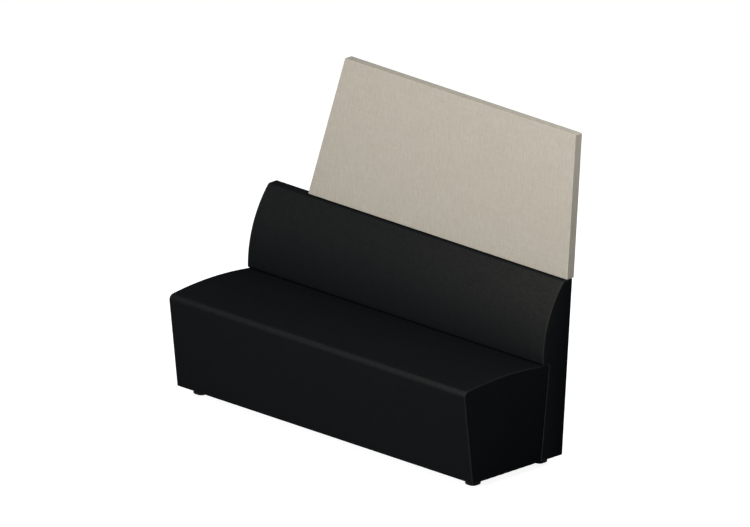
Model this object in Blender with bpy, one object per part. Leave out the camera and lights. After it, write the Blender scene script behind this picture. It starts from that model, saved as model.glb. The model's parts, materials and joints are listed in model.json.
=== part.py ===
"""Armless three-seat sofa module with a padded back and a raked fabric screen standing on it.

Sections are drawn in a body frame: X along the sofa, Y from the seat's lower front edge towards the
rear, Z up from the underside of the upholstered body. An empty places that frame in the world, where
the origin lies on the floor below the middle of the whole object and the front faces -Y.
"""

from math import atan2, cos, pi, radians, sin, sqrt, tan

import bmesh
import bpy

# Driving dimensions, in metres and radians
LENGTH = 1.830
CLEARANCE = 0.0003

SEAT_DEPTH = 0.419
SEAT_LEAN = radians(7.0)
SEAT_PEAK = 0.453
SEAT_CROWN_RADIUS = 1.790
SEAT_FRONT_RADIUS = 0.025
SEAT_REAR_RADIUS = 0.012
SEAT_FOAM = 0.110
FRONT_PAD = 0.012

BACK_BASE = 0.1345
BACK_HEIGHT = 0.802
BACK_LEAN = radians(4.5)
BACK_TOP_RADIUS = 0.022
SEAM_GAP = 0.0006
CREASE_GAP = 0.001
BULGE_OVERHANG = 0.039
BULGE_BELLY = 0.014
BULGE_EDGE_RADIUS = 0.010

SCREEN_SHORT = 0.225
SCREEN_HEIGHT = 0.660
SCREEN_THICKNESS = 0.040
SCREEN_RAKE = radians(15.0)
SCREEN_OVERHANG = 0.008
SCREEN_CHAMFER = 0.003
SCREEN_PAD = 0.004
POST_INSET = 0.320
POST_WIDTH = 0.040
POST_THICKNESS = 0.008
POST_RISE = 0.280
POST_DROP = 0.200
SOCKET_WALL = 0.002

FABRIC = 0.002
END_CHAMFER = 0.0015
DUST_CLOTH = 0.001
BOARD = 0.018
DECK = 0.015
RAIL = 0.020
RAIL_WIDTH = 0.120
LOWER_BOARD = 0.015
SHELF = 0.012
REAR_BOARD = 0.008
SUPPORT_BOARD = 0.012
CAVITY_ROOM = 0.005
TOP_MARGIN = 0.0015
INNER_CORNER_RADIUS = 0.001

FOOT_HEIGHT = 0.038
FOOT_TOP_RADIUS = 0.035
FOOT_FLOOR_RADIUS = 0.0345
FOOT_EDGE = 0.0015
FOOT_INSET = 0.0745
FOOT_WALL = 0.005
GLIDE_THICKNESS = 0.006
GLIDE_RADIUS = 0.021
GLIDE_EDGE = 0.001
PIN_RADIUS = 0.0025
PIN_LENGTH = 0.008
STUD_RADIUS = 0.004
STUD_SPARE = 0.006
TNUT_WALL = 0.0012
TNUT_FLANGE_RADIUS = 0.011
TNUT_FLANGE = 0.0016
TNUT_LIFT = 0.003

JOIN_HEIGHT = 0.200
JOIN_RADIUS = 0.004
JOIN_HEAD_RADIUS = 0.008
JOIN_HEAD = 0.004
JOIN_TIP = 0.003

GANG_INSET = 0.040
GANG_SETBACK = 0.200
GANG_WIDTH = 0.030
GANG_THICKNESS = 0.003
GANG_BOLT_RADIUS = 0.005
GANG_HEAD_RADIUS = 0.009
GANG_HEAD = 0.004

# Facets on rounded stretches
EDGE_STEPS = 6
CROWN_STEPS = 14
BULGE_STEPS = 14
ROUND_STEPS = 16
FOOT_STEPS = 32
CUT_STEPS = 24

# Sizes that follow from the driving ones
END_X = LENGTH / 2
SKIN = FABRIC + CLEARANCE
INNER_X = END_X - SKIN
FRAME_X = INNER_X - BOARD - CLEARANCE
RIB_X = LENGTH / 6
JOIN_X = LENGTH / 4
BASE_Z = DUST_CLOTH + CLEARANCE
RAIL_TOP = BASE_Z + RAIL
DECK_TOP = SEAT_PEAK - FABRIC - SEAT_FOAM
DECK_UNDER = DECK_TOP - DECK

CROWN_Y = SEAT_DEPTH / 2
CROWN_Z = SEAT_PEAK - SEAT_CROWN_RADIUS

FRONT_BOARD_INSET = SKIN + FRONT_PAD + CLEARANCE
FRONT_INNER_INSET = FRONT_BOARD_INSET + BOARD + CLEARANCE
REAR_INNER_INSET = SKIN + BOARD + CLEARANCE

SOCKET_DEPTH = POST_THICKNESS + 2 * (CLEARANCE + SOCKET_WALL)
SOCKET_INSET = SKIN + REAR_BOARD + CLEARANCE
POST_FRAME_INSET = SOCKET_INSET + SOCKET_WALL + CLEARANCE
SUPPORT_BACK_INSET = SOCKET_INSET + SOCKET_DEPTH + CAVITY_ROOM
SUPPORT_FRONT_INSET = SUPPORT_BACK_INSET + SUPPORT_BOARD
TOP_DEPTH = SUPPORT_FRONT_INSET + TOP_MARGIN
LOWER_INNER_INSET = SKIN + LOWER_BOARD + CLEARANCE
BACK_CORNER_RADIUS = FABRIC + INNER_CORNER_RADIUS
REAR_BOARD_TOP = BACK_HEIGHT - SKIN - BACK_CORNER_RADIUS
TOP_RAIL_TOP = BACK_HEIGHT - SKIN
TOP_RAIL_UNDER = TOP_RAIL_TOP - RAIL

SCREEN_BOTTOM = BACK_HEIGHT + CLEARANCE
SCREEN_TOP = SCREEN_BOTTOM + SCREEN_HEIGHT
SCREEN_LEFT = SCREEN_SHORT - END_X
CORE_DEPTH = SKIN + SCREEN_PAD + CLEARANCE
POST_X = {"left": SCREEN_LEFT + POST_INSET, "right": END_X - POST_INSET}

REAR_FOOT_Y = SEAT_DEPTH + BACK_BASE / 2
FEET = {
    "front_left": (FOOT_INSET - END_X, FOOT_INSET),
    "front_right": (END_X - FOOT_INSET, FOOT_INSET),
    "rear_left": (FOOT_INSET - END_X, REAR_FOOT_Y),
    "rear_right": (END_X - FOOT_INSET, REAR_FOOT_Y),
}
SIDES = {"left": -1, "right": 1}


def seat_front(z, inset=0.0):
    """Depth of the seat's leaning front face at height z, moved in by inset."""
    return inset / cos(SEAT_LEAN) - z * tan(SEAT_LEAN)


def seat_rear(z, inset=0.0):
    return SEAT_DEPTH - seat_front(z, inset)


def back_front(z, inset=0.0):
    """The back's lower front face, which lies along the seat's rear face."""
    return seat_rear(z) + SEAM_GAP + inset / cos(SEAT_LEAN)


def back_rear(z, inset=0.0):
    return SEAT_DEPTH + BACK_BASE + z * tan(BACK_LEAN) - inset / cos(BACK_LEAN)


def screen_front(z):
    return back_rear(z) + SCREEN_OVERHANG - SCREEN_THICKNESS


BULGE_BOTTOM = CROWN_Z + sqrt(SEAT_CROWN_RADIUS**2 - CROWN_Y**2) + CREASE_GAP
BULGE_Z = BULGE_BOTTOM + BULGE_BELLY
BULGE_FRONT = back_front(BULGE_BOTTOM) - BULGE_OVERHANG
SHELF_TOP = BULGE_BOTTOM + FABRIC
SHELF_UNDER = SHELF_TOP - SHELF


def arc(centre, radius, start, end, steps):
    """Points on an arc from one angle to another, both ends included."""
    angles = [start + (end - start) * i / steps for i in range(steps + 1)]
    return [(centre[0] + radius * cos(a), centre[1] + radius * sin(a)) for a in angles]


def seat_edge_centre(radius):
    """Where a rounding between the front face and the crown is centred, the same for any inset."""
    start = seat_front(0, radius) - CROWN_Y
    slope = tan(SEAT_LEAN)
    square = 1 + slope**2
    half = slope * start + CROWN_Z
    rest = start**2 + CROWN_Z**2 - (SEAT_CROWN_RADIUS - radius) ** 2
    z = (half + sqrt(half**2 - square * rest)) / square
    return seat_front(z, radius), z


def seat_outline(inset=0.0, base=0.0):
    """Seat section from its lower front edge over the crown to its lower rear edge."""
    front = seat_edge_centre(SEAT_FRONT_RADIUS)
    rear = seat_edge_centre(SEAT_REAR_RADIUS)
    first = atan2(front[1] - CROWN_Z, front[0] - CROWN_Y)
    last = pi - atan2(rear[1] - CROWN_Z, rear[0] - CROWN_Y)
    rear = (SEAT_DEPTH - rear[0], rear[1])
    crown = (CROWN_Y, CROWN_Z)
    points = [(seat_front(base, inset), base)]
    points += arc(front, SEAT_FRONT_RADIUS - inset, pi + SEAT_LEAN, first, EDGE_STEPS)
    points += arc(crown, SEAT_CROWN_RADIUS - inset, first, last, CROWN_STEPS)[1:]
    points += arc(rear, SEAT_REAR_RADIUS - inset, last, -SEAT_LEAN, EDGE_STEPS)[1:]
    return points + [(seat_rear(base, inset), base)]


def bulge_outline(inset=0.0):
    """The back's padded front, from the lower edge of the bulge up to the flat top."""
    top = (back_rear(BACK_HEIGHT) - TOP_DEPTH, BACK_HEIGHT - BACK_TOP_RADIUS)
    setback = top[0] - BULGE_FRONT
    rise = top[1] - BULGE_Z
    radius = (setback**2 + rise**2 - BACK_TOP_RADIUS**2) / (2 * (setback - BACK_TOP_RADIUS))
    belly = (BULGE_FRONT + radius, BULGE_Z)
    low_z = BULGE_BOTTOM + BULGE_EDGE_RADIUS
    low_y = belly[0] - sqrt((radius - BULGE_EDGE_RADIUS) ** 2 - (low_z - BULGE_Z) ** 2)
    first = atan2(low_z - BULGE_Z, low_y - belly[0]) % (2 * pi)
    last = atan2(rise, top[0] - belly[0])
    points = arc((low_y, low_z), BULGE_EDGE_RADIUS - inset, 1.5 * pi, first, EDGE_STEPS)
    points += arc(belly, radius - inset, first, last, BULGE_STEPS)[1:]
    return points + arc(top, BACK_TOP_RADIUS - inset, last, pi / 2, EDGE_STEPS)[1:]


def back_outline(inset=0.0, base=0.0):
    """Back section from its lower front edge, under and over the bulge, to its lower rear edge."""
    under = BULGE_BOTTOM + inset
    corner_z = BACK_HEIGHT - BACK_CORNER_RADIUS
    corner = (back_rear(corner_z, BACK_CORNER_RADIUS), corner_z)
    points = [(back_front(base, inset), base), (back_front(under, inset), under)]
    points += bulge_outline(inset)
    points += arc(corner, BACK_CORNER_RADIUS - inset, pi / 2, -BACK_LEAN, EDGE_STEPS)
    return points + [(back_rear(base, inset), base)]


def band(near, far, low, high):
    """Section of a board between two leaning faces, each given as a function of height."""
    return [(near(low), low), (far(low), low), (far(high), high), (near(high), high)]


def between(face, near_inset, far_inset, low, high):
    """Section of a board that lies between two insets of one leaning face."""
    return band(lambda z: face(z, near_inset), lambda z: face(z, far_inset), low, high)


def material(name, red, green, blue, roughness, metallic=0.0):
    made = bpy.data.materials.new(name)
    made.use_nodes = True
    shader = made.node_tree.nodes["Principled BSDF"]
    linear = [((c / 255 + 0.055) / 1.055) ** 2.4 for c in (red, green, blue)]
    shader.inputs["Base Color"].default_value = (*linear, 1.0)
    shader.inputs["Roughness"].default_value = roughness
    shader.inputs["Metallic"].default_value = metallic
    return made


def add_object(name, mesh_data, parent, finish=None):
    """One object in the scene from a bmesh, with outward faces and soft shading on round stretches."""
    bmesh.ops.recalc_face_normals(mesh_data, faces=mesh_data.faces)
    mesh = bpy.data.meshes.new(name)
    mesh_data.to_mesh(mesh)
    mesh_data.free()
    mesh.shade_smooth()
    mesh.set_sharp_from_angle(angle=radians(35))
    made = bpy.data.objects.new(name, mesh)
    if finish:
        mesh.materials.append(finish)
    made.parent = parent
    bpy.context.collection.objects.link(made)
    return made


def loft(name, rings, parent, finish=None):
    """A closed solid through rings of equally many points, with flat ends."""
    made = bmesh.new()
    loops = [[made.verts.new(point) for point in ring] for ring in rings]
    for low, high in zip(loops, loops[1:]):
        for i in range(len(low)):
            made.faces.new((low[i - 1], low[i], high[i], high[i - 1]))
    made.faces.new(loops[0])
    made.faces.new(loops[-1])
    return add_object(name, made, parent, finish)


def prism(name, outline, x_from, x_to, parent, finish=None):
    """A section in Y and Z, drawn out along X."""
    rings = [[(x, y, z) for y, z in outline] for x in (x_from, x_to)]
    return loft(name, rings, parent, finish)


def turned(name, profile, parent, finish=None, steps=ROUND_STEPS, closed=False):
    """A solid turned about Z from a profile of radii and heights."""
    made = bmesh.new()
    points = [made.verts.new((radius, 0, z)) for radius, z in profile]
    pairs = list(zip(points, points[1:]))
    if closed:
        pairs.append((points[-1], points[0]))
    edges = [made.edges.new(pair) for pair in pairs]
    bmesh.ops.spin(
        made, geom=points + edges, cent=(0, 0, 0), axis=(0, 0, 1), angle=2 * pi, steps=steps, use_merge=True
    )
    bmesh.ops.remove_doubles(made, verts=made.verts, dist=1e-6)
    return add_object(name, made, parent, finish)


def rod(radius, low, high):
    return [(0, low), (radius, low), (radius, high), (0, high)]


def cut(target, cutter):
    """Takes the cutter's shape out of the target and leaves the cutter as a hidden guide."""
    cutter.hide_render = True
    cutter.display_type = "WIRE"
    change = target.modifiers.new(cutter.name, "BOOLEAN")
    change.operation = "DIFFERENCE"
    change.solver = "EXACT"
    change.object = cutter


def round_cutter(name, place, radius, low, high, parent, tilt=0.0):
    """A guide for a round hole, whose flats stay outside the radius."""
    made = turned(name, rod(radius / cos(pi / CUT_STEPS), low, high), parent, steps=CUT_STEPS)
    made.location = place
    made.rotation_euler.x = tilt
    return made


def mirrored_span(near, far, side):
    """An X range on one side of the middle, lower end first."""
    return sorted((side * near, side * far))


def sheet(outline, base=0.0):
    """Section of a cloth wrap, as thick as the fabric and open at the bottom."""
    return outline(0.0, base) + outline(FABRIC, base)[::-1]


def end_cover(name, outline, side, parent, finish):
    """A flat end panel whose outer border is eased."""
    depths = ((END_X - FABRIC, 0.0), (END_X - END_CHAMFER, 0.0), (END_X, END_CHAMFER))
    rings = []
    for x, inset in depths:
        rings.append([(side * x, y, z) for y, z in outline(inset, inset)])
    return loft(name, rings, parent, finish)


def build_seat(frame, finishes):
    ply, foam, cloth = finishes["plywood"], finishes["foam"], finishes["black_fabric"]
    front_inner = lambda z: seat_front(z, FRONT_INNER_INSET)
    rear_inner = lambda z: seat_rear(z, REAR_INNER_INSET)
    top = DECK_UNDER - CLEARANCE
    inside = band(front_inner, rear_inner, BASE_Z, top)
    made = {}

    def board(name, outline, x_from, x_to, finish=ply):
        made[name] = prism(name, outline, x_from, x_to, frame, finish)

    front = between(seat_front, FRONT_BOARD_INSET, FRONT_BOARD_INSET + BOARD, BASE_Z, top)
    board("seat_front_board", front, -INNER_X, INNER_X)
    rear = between(seat_rear, SKIN, SKIN + BOARD, BASE_Z, top)
    board("seat_rear_board", rear, -INNER_X, INNER_X)
    deck_front = lambda z: seat_front(z, FRONT_BOARD_INSET)
    deck = band(deck_front, lambda z: seat_rear(z, SKIN), DECK_UNDER, DECK_TOP)
    board("seat_deck", deck, -INNER_X, INNER_X)
    for label, side in SIDES.items():
        board("seat_end_board_" + label, inside, *mirrored_span(INNER_X - BOARD, INNER_X, side))
        rib = mirrored_span(RIB_X - BOARD / 2, RIB_X + BOARD / 2, side)
        board("seat_rib_" + label, inside, *rib)
        rail = band(front_inner, rear_inner, BASE_Z, RAIL_TOP)
        board("seat_bottom_rail_" + label, rail, *mirrored_span(FRAME_X - RAIL_WIDTH, FRAME_X, side))
    pad = between(seat_front, SKIN, SKIN + FRONT_PAD, BASE_Z, DECK_TOP)
    board("seat_front_pad", pad, -INNER_X, INNER_X, foam)
    board("seat_foam", seat_outline(SKIN, DECK_TOP + CLEARANCE), -INNER_X, INNER_X, foam)
    dust = band(lambda z: seat_front(z, SKIN), lambda z: seat_rear(z, SKIN), 0.0, DUST_CLOTH)
    board("seat_dust_cover", dust, -INNER_X, INNER_X, finishes["dust_cloth"])
    board("seat_cover_wrap", sheet(seat_outline), -INNER_X, INNER_X, cloth)
    for label, side in SIDES.items():
        end_cover("seat_cover_end_" + label, seat_outline, side, frame, cloth)
    return made


def build_back(frame, finishes):
    ply, foam, cloth = finishes["plywood"], finishes["foam"], finishes["black_fabric"]
    lower_inner = lambda z: back_front(z, LOWER_INNER_INSET)
    rear_inner = lambda z: back_rear(z, SOCKET_INSET)
    support_back = lambda z: back_rear(z, SUPPORT_BACK_INSET)
    upright_front = lambda z: back_rear(z, SUPPORT_BACK_INSET - CLEARANCE)
    shoulder = SHELF_UNDER - CLEARANCE
    top = TOP_RAIL_UNDER - CLEARANCE
    made = {}

    def board(name, outline, x_from, x_to, finish=ply):
        made[name] = prism(name, outline, x_from, x_to, frame, finish)

    def upright(foot):
        """Section of an end board or rib: wide below the shelf, narrow behind the support board."""
        front = [(lower_inner(foot), foot), (lower_inner(shoulder), shoulder)]
        neck = [(upright_front(shoulder), shoulder), (upright_front(top), top)]
        return front + neck + [(rear_inner(top), top), (rear_inner(foot), foot)]

    lower = between(back_front, SKIN, SKIN + LOWER_BOARD, BASE_Z, shoulder)
    board("back_lower_board", lower, -INNER_X, INNER_X)
    rear = between(back_rear, SKIN, SKIN + REAR_BOARD, BASE_Z, REAR_BOARD_TOP)
    board("back_rear_board", rear, -INNER_X, INNER_X)
    shelf = band(lambda z: back_front(z, SKIN), support_back, SHELF_UNDER, SHELF_TOP)
    board("back_shelf", shelf, -INNER_X, INNER_X)
    support = between(back_rear, SUPPORT_FRONT_INSET, SUPPORT_BACK_INSET, SHELF_TOP + CLEARANCE, top)
    board("back_support_board", support, -INNER_X, INNER_X)
    support_front = lambda z: back_rear(z, SUPPORT_FRONT_INSET)
    board("back_top_rail", band(support_front, rear_inner, TOP_RAIL_UNDER, TOP_RAIL_TOP), -INNER_X, INNER_X)
    board("back_bottom_board", band(lower_inner, rear_inner, BASE_Z, RAIL_TOP), -FRAME_X, FRAME_X)
    board("back_rib", upright(RAIL_TOP + CLEARANCE), -BOARD / 2, BOARD / 2)
    for label, side in SIDES.items():
        span = mirrored_span(INNER_X - BOARD, INNER_X, side)
        board("back_end_board_" + label, upright(BASE_Z), *span)
    bulge = bulge_outline(SKIN)
    foam_rear = SUPPORT_FRONT_INSET + CLEARANCE
    low, high = bulge[0][1], bulge[-1][1]
    filling = bulge + [(back_rear(high, foam_rear), high), (back_rear(low, foam_rear), low)]
    board("back_foam", filling, -INNER_X, INNER_X, foam)
    dust = band(lambda z: back_front(z, SKIN), lambda z: back_rear(z, SKIN), 0.0, DUST_CLOTH)
    board("back_dust_cover", dust, -INNER_X, INNER_X, finishes["dust_cloth"])
    board("back_cover_wrap", sheet(back_outline), -INNER_X, INNER_X, cloth)
    for label, side in SIDES.items():
        end_cover("back_cover_end_" + label, back_outline, side, frame, cloth)
    return made


def build_joining_screws(frame, finishes, seat, back):
    """Screws that draw the back's lower board against the seat's rear board."""
    tilt = -(pi / 2 + SEAT_LEAN)
    under_head = SEAM_GAP + LOWER_INNER_INSET
    tip = -(SKIN + BOARD + JOIN_TIP)
    head = [(JOIN_HEAD_RADIUS, under_head), (JOIN_HEAD_RADIUS, under_head + JOIN_HEAD)]
    profile = [(0, tip), (JOIN_RADIUS, tip), (JOIN_RADIUS, under_head), *head, (0, head[-1][1])]
    walls = [seat["seat_rear_board"], seat["seat_cover_wrap"]]
    walls += [back["back_cover_wrap"], back["back_lower_board"]]
    for label, side in SIDES.items():
        place = (side * JOIN_X, seat_rear(JOIN_HEIGHT), JOIN_HEIGHT)
        screw = turned("joining_screw_" + label, profile, frame, finishes["zinc_steel"])
        screw.location = place
        screw.rotation_euler.x = tilt
        hole_radius = JOIN_RADIUS + CLEARANCE
        far = under_head + JOIN_HEAD
        hole = round_cutter("joining_hole_" + label, place, hole_radius, tip - JOIN_TIP, far, frame, tilt)
        for wall in walls:
            cut(wall, hole)


def screen_ring(inset, depth):
    """Four corners of the screen's outline, moved in by inset, at a depth behind its front face."""
    low, high = SCREEN_BOTTOM + inset, SCREEN_TOP - inset
    left = lambda z: SCREEN_LEFT + (z - SCREEN_BOTTOM) * tan(SCREEN_RAKE) + inset / cos(SCREEN_RAKE)
    right = END_X - inset
    corners = [(left(low), low), (right, low), (right, high), (left(high), high)]
    return [(x, screen_front(z) + depth, z) for x, z in corners]


def build_screen(frame, finishes, back):
    cloth, foam, steel = finishes["beige_fabric"], finishes["foam"], finishes["zinc_steel"]
    rim = SCREEN_THICKNESS - SKIN
    outer = [(SCREEN_CHAMFER, 0.0), (0.0, SCREEN_CHAMFER), (0.0, rim)]
    cover = loft("screen_cover_front", [screen_ring(*ring) for ring in outer], frame, cloth)
    inner = [(FABRIC, FABRIC), (FABRIC, SCREEN_THICKNESS)]
    cut(cover, loft("screen_hollow", [screen_ring(*ring) for ring in inner], frame))
    closing = [(0.0, SCREEN_THICKNESS - FABRIC), (SCREEN_CHAMFER, SCREEN_THICKNESS)]
    loft("screen_cover_rear", [screen_ring(*ring) for ring in closing], frame, cloth)
    layers = {
        "screen_pad_front": (SKIN, SKIN + SCREEN_PAD, foam),
        "screen_core": (CORE_DEPTH, SCREEN_THICKNESS - CORE_DEPTH, finishes["plywood"]),
        "screen_pad_rear": (SCREEN_THICKNESS - SKIN - SCREEN_PAD, SCREEN_THICKNESS - SKIN, foam),
    }
    made = {}
    for name, (near, far, finish) in layers.items():
        made[name] = loft(name, [screen_ring(SKIN, near), screen_ring(SKIN, far)], frame, finish)

    post_front = POST_FRAME_INSET + POST_THICKNESS
    post_low, post_high = TOP_RAIL_TOP - POST_DROP, SCREEN_BOTTOM + POST_RISE
    slot_low, slot_high = post_low - CLEARANCE, post_high + CLEARANCE
    slot_rear, slot_front = POST_FRAME_INSET - CLEARANCE, post_front + CLEARANCE
    socket_front = SOCKET_INSET + SOCKET_DEPTH
    for label, x in POST_X.items():
        half = POST_WIDTH / 2
        post = between(back_rear, POST_FRAME_INSET, post_front, post_low, post_high)
        prism("screen_post_" + label, post, x - half, x + half, frame, steel)

        half += CLEARANCE
        slot = between(back_rear, slot_rear, slot_front, slot_low, slot_high)
        slot_guide = prism("screen_slot_" + label, slot, x - half, x + half, frame)
        for target in (made["screen_core"], cover, back["back_cover_wrap"]):
            cut(target, slot_guide)

        half += SOCKET_WALL
        shell = between(back_rear, SOCKET_INSET, socket_front, slot_low - SOCKET_WALL, TOP_RAIL_TOP)
        socket = prism("screen_socket_" + label, shell, x - half, x + half, frame, steel)
        cut(socket, slot_guide)

        half += CLEARANCE
        notch_low, notch_high = TOP_RAIL_UNDER - RAIL, TOP_RAIL_TOP + RAIL
        notch = between(back_rear, SKIN, socket_front + CLEARANCE, notch_low, notch_high)
        cut(back["back_top_rail"], prism("screen_notch_" + label, notch, x - half, x + half, frame))


def build_foot(label, place, frame, finishes, bottom, dust):
    """A levelling foot: round body and stud that turn together, glide below, nut in the frame."""
    x, y = place
    axis = bpy.data.objects.new("foot_axis_" + label, None)
    axis.parent = frame
    axis.location = (x, y, 0)
    bpy.context.collection.objects.link(axis)

    floor = -FOOT_HEIGHT
    glide_top = floor + GLIDE_THICKNESS
    low, high = glide_top + CLEARANCE, -CLEARANCE
    pin_top = glide_top + PIN_LENGTH
    pin_hole = PIN_RADIUS + CLEARANCE
    stud_hole = STUD_RADIUS + CLEARANCE
    stud_low = pin_top + FOOT_WALL
    body = [(0, stud_low - CLEARANCE), (stud_hole, stud_low - CLEARANCE), (stud_hole, high)]
    body += [(FOOT_TOP_RADIUS - FOOT_EDGE, high), (FOOT_TOP_RADIUS, high - FOOT_EDGE)]
    body += [(FOOT_FLOOR_RADIUS, low + FOOT_EDGE), (FOOT_FLOOR_RADIUS - FOOT_EDGE, low)]
    body += [(pin_hole, low), (pin_hole, pin_top + CLEARANCE), (0, pin_top + CLEARANCE)]
    turned("foot_" + label, body, axis, finishes["black_plastic"], FOOT_STEPS)
    tnut_top = RAIL_TOP + CLEARANCE + TNUT_FLANGE
    stud = rod(STUD_RADIUS, stud_low, tnut_top + STUD_SPARE)
    turned("foot_stud_" + label, stud, axis, finishes["zinc_steel"])
    glide = [(0, floor), (GLIDE_RADIUS - GLIDE_EDGE, floor), (GLIDE_RADIUS, floor + GLIDE_EDGE)]
    glide += [(GLIDE_RADIUS, glide_top), (PIN_RADIUS, glide_top), (PIN_RADIUS, pin_top), (0, pin_top)]
    turned("foot_glide_" + label, glide, axis, finishes["nylon"], FOOT_STEPS)

    barrel = stud_hole + TNUT_WALL
    nut = [(stud_hole, BASE_Z + TNUT_LIFT), (barrel, BASE_Z + TNUT_LIFT), (barrel, RAIL_TOP + CLEARANCE)]
    nut += [(TNUT_FLANGE_RADIUS, RAIL_TOP + CLEARANCE), (TNUT_FLANGE_RADIUS, tnut_top), (stud_hole, tnut_top)]
    turned("foot_tnut_" + label, nut, axis, finishes["zinc_steel"], closed=True)
    hole = round_cutter("foot_hole_" + label, (x, y, 0), barrel + CLEARANCE, -RAIL, 2 * RAIL, frame)
    cut(bottom, hole)
    cut(dust, hole)


def build_link(label, side, frame, finishes, rail, dust):
    """A steel strap under one end, turning on its bolt to reach the same bolt of the next module."""
    place = (side * (END_X - GANG_INSET), GANG_SETBACK, 0)
    spacing = 2 * GANG_INSET
    radius = GANG_WIDTH / 2
    top = -CLEARANCE
    under = top - GANG_THICKNESS
    outline = arc((0, 0), radius, pi, 2 * pi, EDGE_STEPS) + arc((0, spacing), radius, 0, pi, EDGE_STEPS)
    strap_rings = [[(x, y, z) for x, y in outline] for z in (under, top)]
    strap = loft("gang_plate_" + label, strap_rings, frame, finishes["black_steel"])
    strap.location = place
    hole_radius = GANG_BOLT_RADIUS + CLEARANCE
    for name, y in (("pivot", 0), ("hook", spacing)):
        spot = (place[0], place[1] + y, 0)
        guide = round_cutter(f"gang_{name}_hole_{label}", spot, hole_radius, 2 * under, -2 * under, frame)
        cut(strap, guide)

    head_top = under - CLEARANCE
    head_low = head_top - GANG_HEAD
    profile = [(0, head_low), (GANG_HEAD_RADIUS, head_low), (GANG_HEAD_RADIUS, head_top)]
    profile += [(GANG_BOLT_RADIUS, head_top), (GANG_BOLT_RADIUS, RAIL_TOP), (0, RAIL_TOP)]
    bolt = turned("gang_bolt_" + label, profile, frame, finishes["zinc_steel"])
    bolt.location = place
    hole = round_cutter("gang_bolt_hole_" + label, place, hole_radius, -RAIL, 2 * RAIL, frame)
    cut(rail, hole)
    cut(dust, hole)


def main():
    for old in list(bpy.data.objects):
        bpy.data.objects.remove(old)
    finishes = {
        "black_fabric": material("black_fabric", 27, 28, 30, 0.9),
        "beige_fabric": material("beige_fabric", 190, 183, 169, 0.9),
        "plywood": material("plywood", 201, 170, 124, 0.7),
        "foam": material("foam", 226, 216, 178, 0.95),
        "dust_cloth": material("dust_cloth", 24, 24, 25, 0.95),
        "black_plastic": material("black_plastic", 30, 28, 28, 0.5),
        "nylon": material("nylon", 60, 58, 56, 0.6),
        "zinc_steel": material("zinc_steel", 190, 192, 195, 0.35, 1.0),
        "black_steel": material("black_steel", 32, 32, 33, 0.5),
    }
    front_reach = min(y for y, z in seat_outline())
    rear_reach = screen_front(SCREEN_TOP) + SCREEN_THICKNESS
    frame = bpy.data.objects.new("sofa_body_frame", None)
    frame.location = (0, -(front_reach + rear_reach) / 2, FOOT_HEIGHT)
    bpy.context.collection.objects.link(frame)

    seat = build_seat(frame, finishes)
    back = build_back(frame, finishes)
    build_joining_screws(frame, finishes, seat, back)
    build_screen(frame, finishes, back)
    for label, place in FEET.items():
        if label.startswith("front"):
            bottom, dust = seat["seat_bottom_rail_" + label.split("_")[1]], seat["seat_dust_cover"]
        else:
            bottom, dust = back["back_bottom_board"], back["back_dust_cover"]
        build_foot(label, place, frame, finishes, bottom, dust)
    for label, side in SIDES.items():
        build_link(label, side, frame, finishes, seat["seat_bottom_rail_" + label], seat["seat_dust_cover"])


main()
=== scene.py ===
"""Looks of the sofa module: fabric covers, foam, screen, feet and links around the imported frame."""

import json
from math import atan2, cos, hypot, pi, radians, sin, sqrt, tan

import bmesh
import bpy
import numpy as np
from mathutils import Euler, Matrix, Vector
from mathutils.geometry import delaunay_2d_cdt


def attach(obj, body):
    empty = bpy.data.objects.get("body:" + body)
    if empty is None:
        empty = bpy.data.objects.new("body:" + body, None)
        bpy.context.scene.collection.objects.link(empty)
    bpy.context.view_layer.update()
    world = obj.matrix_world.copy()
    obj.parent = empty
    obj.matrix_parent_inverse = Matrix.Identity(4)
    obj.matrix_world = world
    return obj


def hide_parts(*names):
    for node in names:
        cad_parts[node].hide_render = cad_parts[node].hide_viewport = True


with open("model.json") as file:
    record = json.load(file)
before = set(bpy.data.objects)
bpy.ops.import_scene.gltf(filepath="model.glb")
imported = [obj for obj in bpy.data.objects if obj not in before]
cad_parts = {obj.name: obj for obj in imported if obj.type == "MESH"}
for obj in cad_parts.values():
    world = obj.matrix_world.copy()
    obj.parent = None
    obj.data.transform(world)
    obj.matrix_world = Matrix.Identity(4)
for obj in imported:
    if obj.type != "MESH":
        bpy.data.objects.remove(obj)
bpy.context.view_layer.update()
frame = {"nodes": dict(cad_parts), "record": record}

# Sizes repeated from the part's source, in metres and radians
BODY = np.array((0.0, -0.313168, 0.038))  # where the body frame stands in the row frame
END_X, CLEARANCE = 0.915, 0.0003
SEAT_DEPTH, SEAT_LEAN, SEAT_PEAK = 0.419, radians(7.0), 0.453
CROWN_RADIUS, SEAT_FRONT_RADIUS, SEAT_REAR_RADIUS = 1.790, 0.025, 0.012
CROWN_Y, CROWN_Z = SEAT_DEPTH / 2, SEAT_PEAK - CROWN_RADIUS
BACK_BASE, BACK_HEIGHT, BACK_LEAN, BACK_TOP_RADIUS = 0.1345, 0.802, radians(4.5), 0.022
SEAM_GAP, CREASE_GAP = 0.0006, 0.001
BULGE_OVERHANG, BULGE_BELLY, BULGE_EDGE_RADIUS = 0.039, 0.014, 0.010
BACK_CORNER_RADIUS, TOP_DEPTH = 0.003, 0.0417
SUPPORT_INSET = 0.0402  # front of the board behind the back's foam
SCREEN_LEFT, SCREEN_BOTTOM, SCREEN_TOP = -0.690, 0.8023, 1.4623
SCREEN_THICKNESS, SCREEN_RAKE, SCREEN_OVERHANG, SCREEN_PAD = 0.040, radians(15.0), 0.008, 0.004
SKIN, DECK_TOP, FRONT_PAD = 0.0023, 0.341, 0.012
BASE_Z = 0.0013  # underside of the frame, above its dust cloth
FOOT_X, FOOT_ROWS = 0.8405, {"front": 0.0745, "rear": 0.48625}
GANG_X, GANG_Y, GANG_SPACING, GANG_HOLE = 0.875, 0.200, 0.080, 0.0053
SIDES = {"left": -1, "right": 1}
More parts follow.
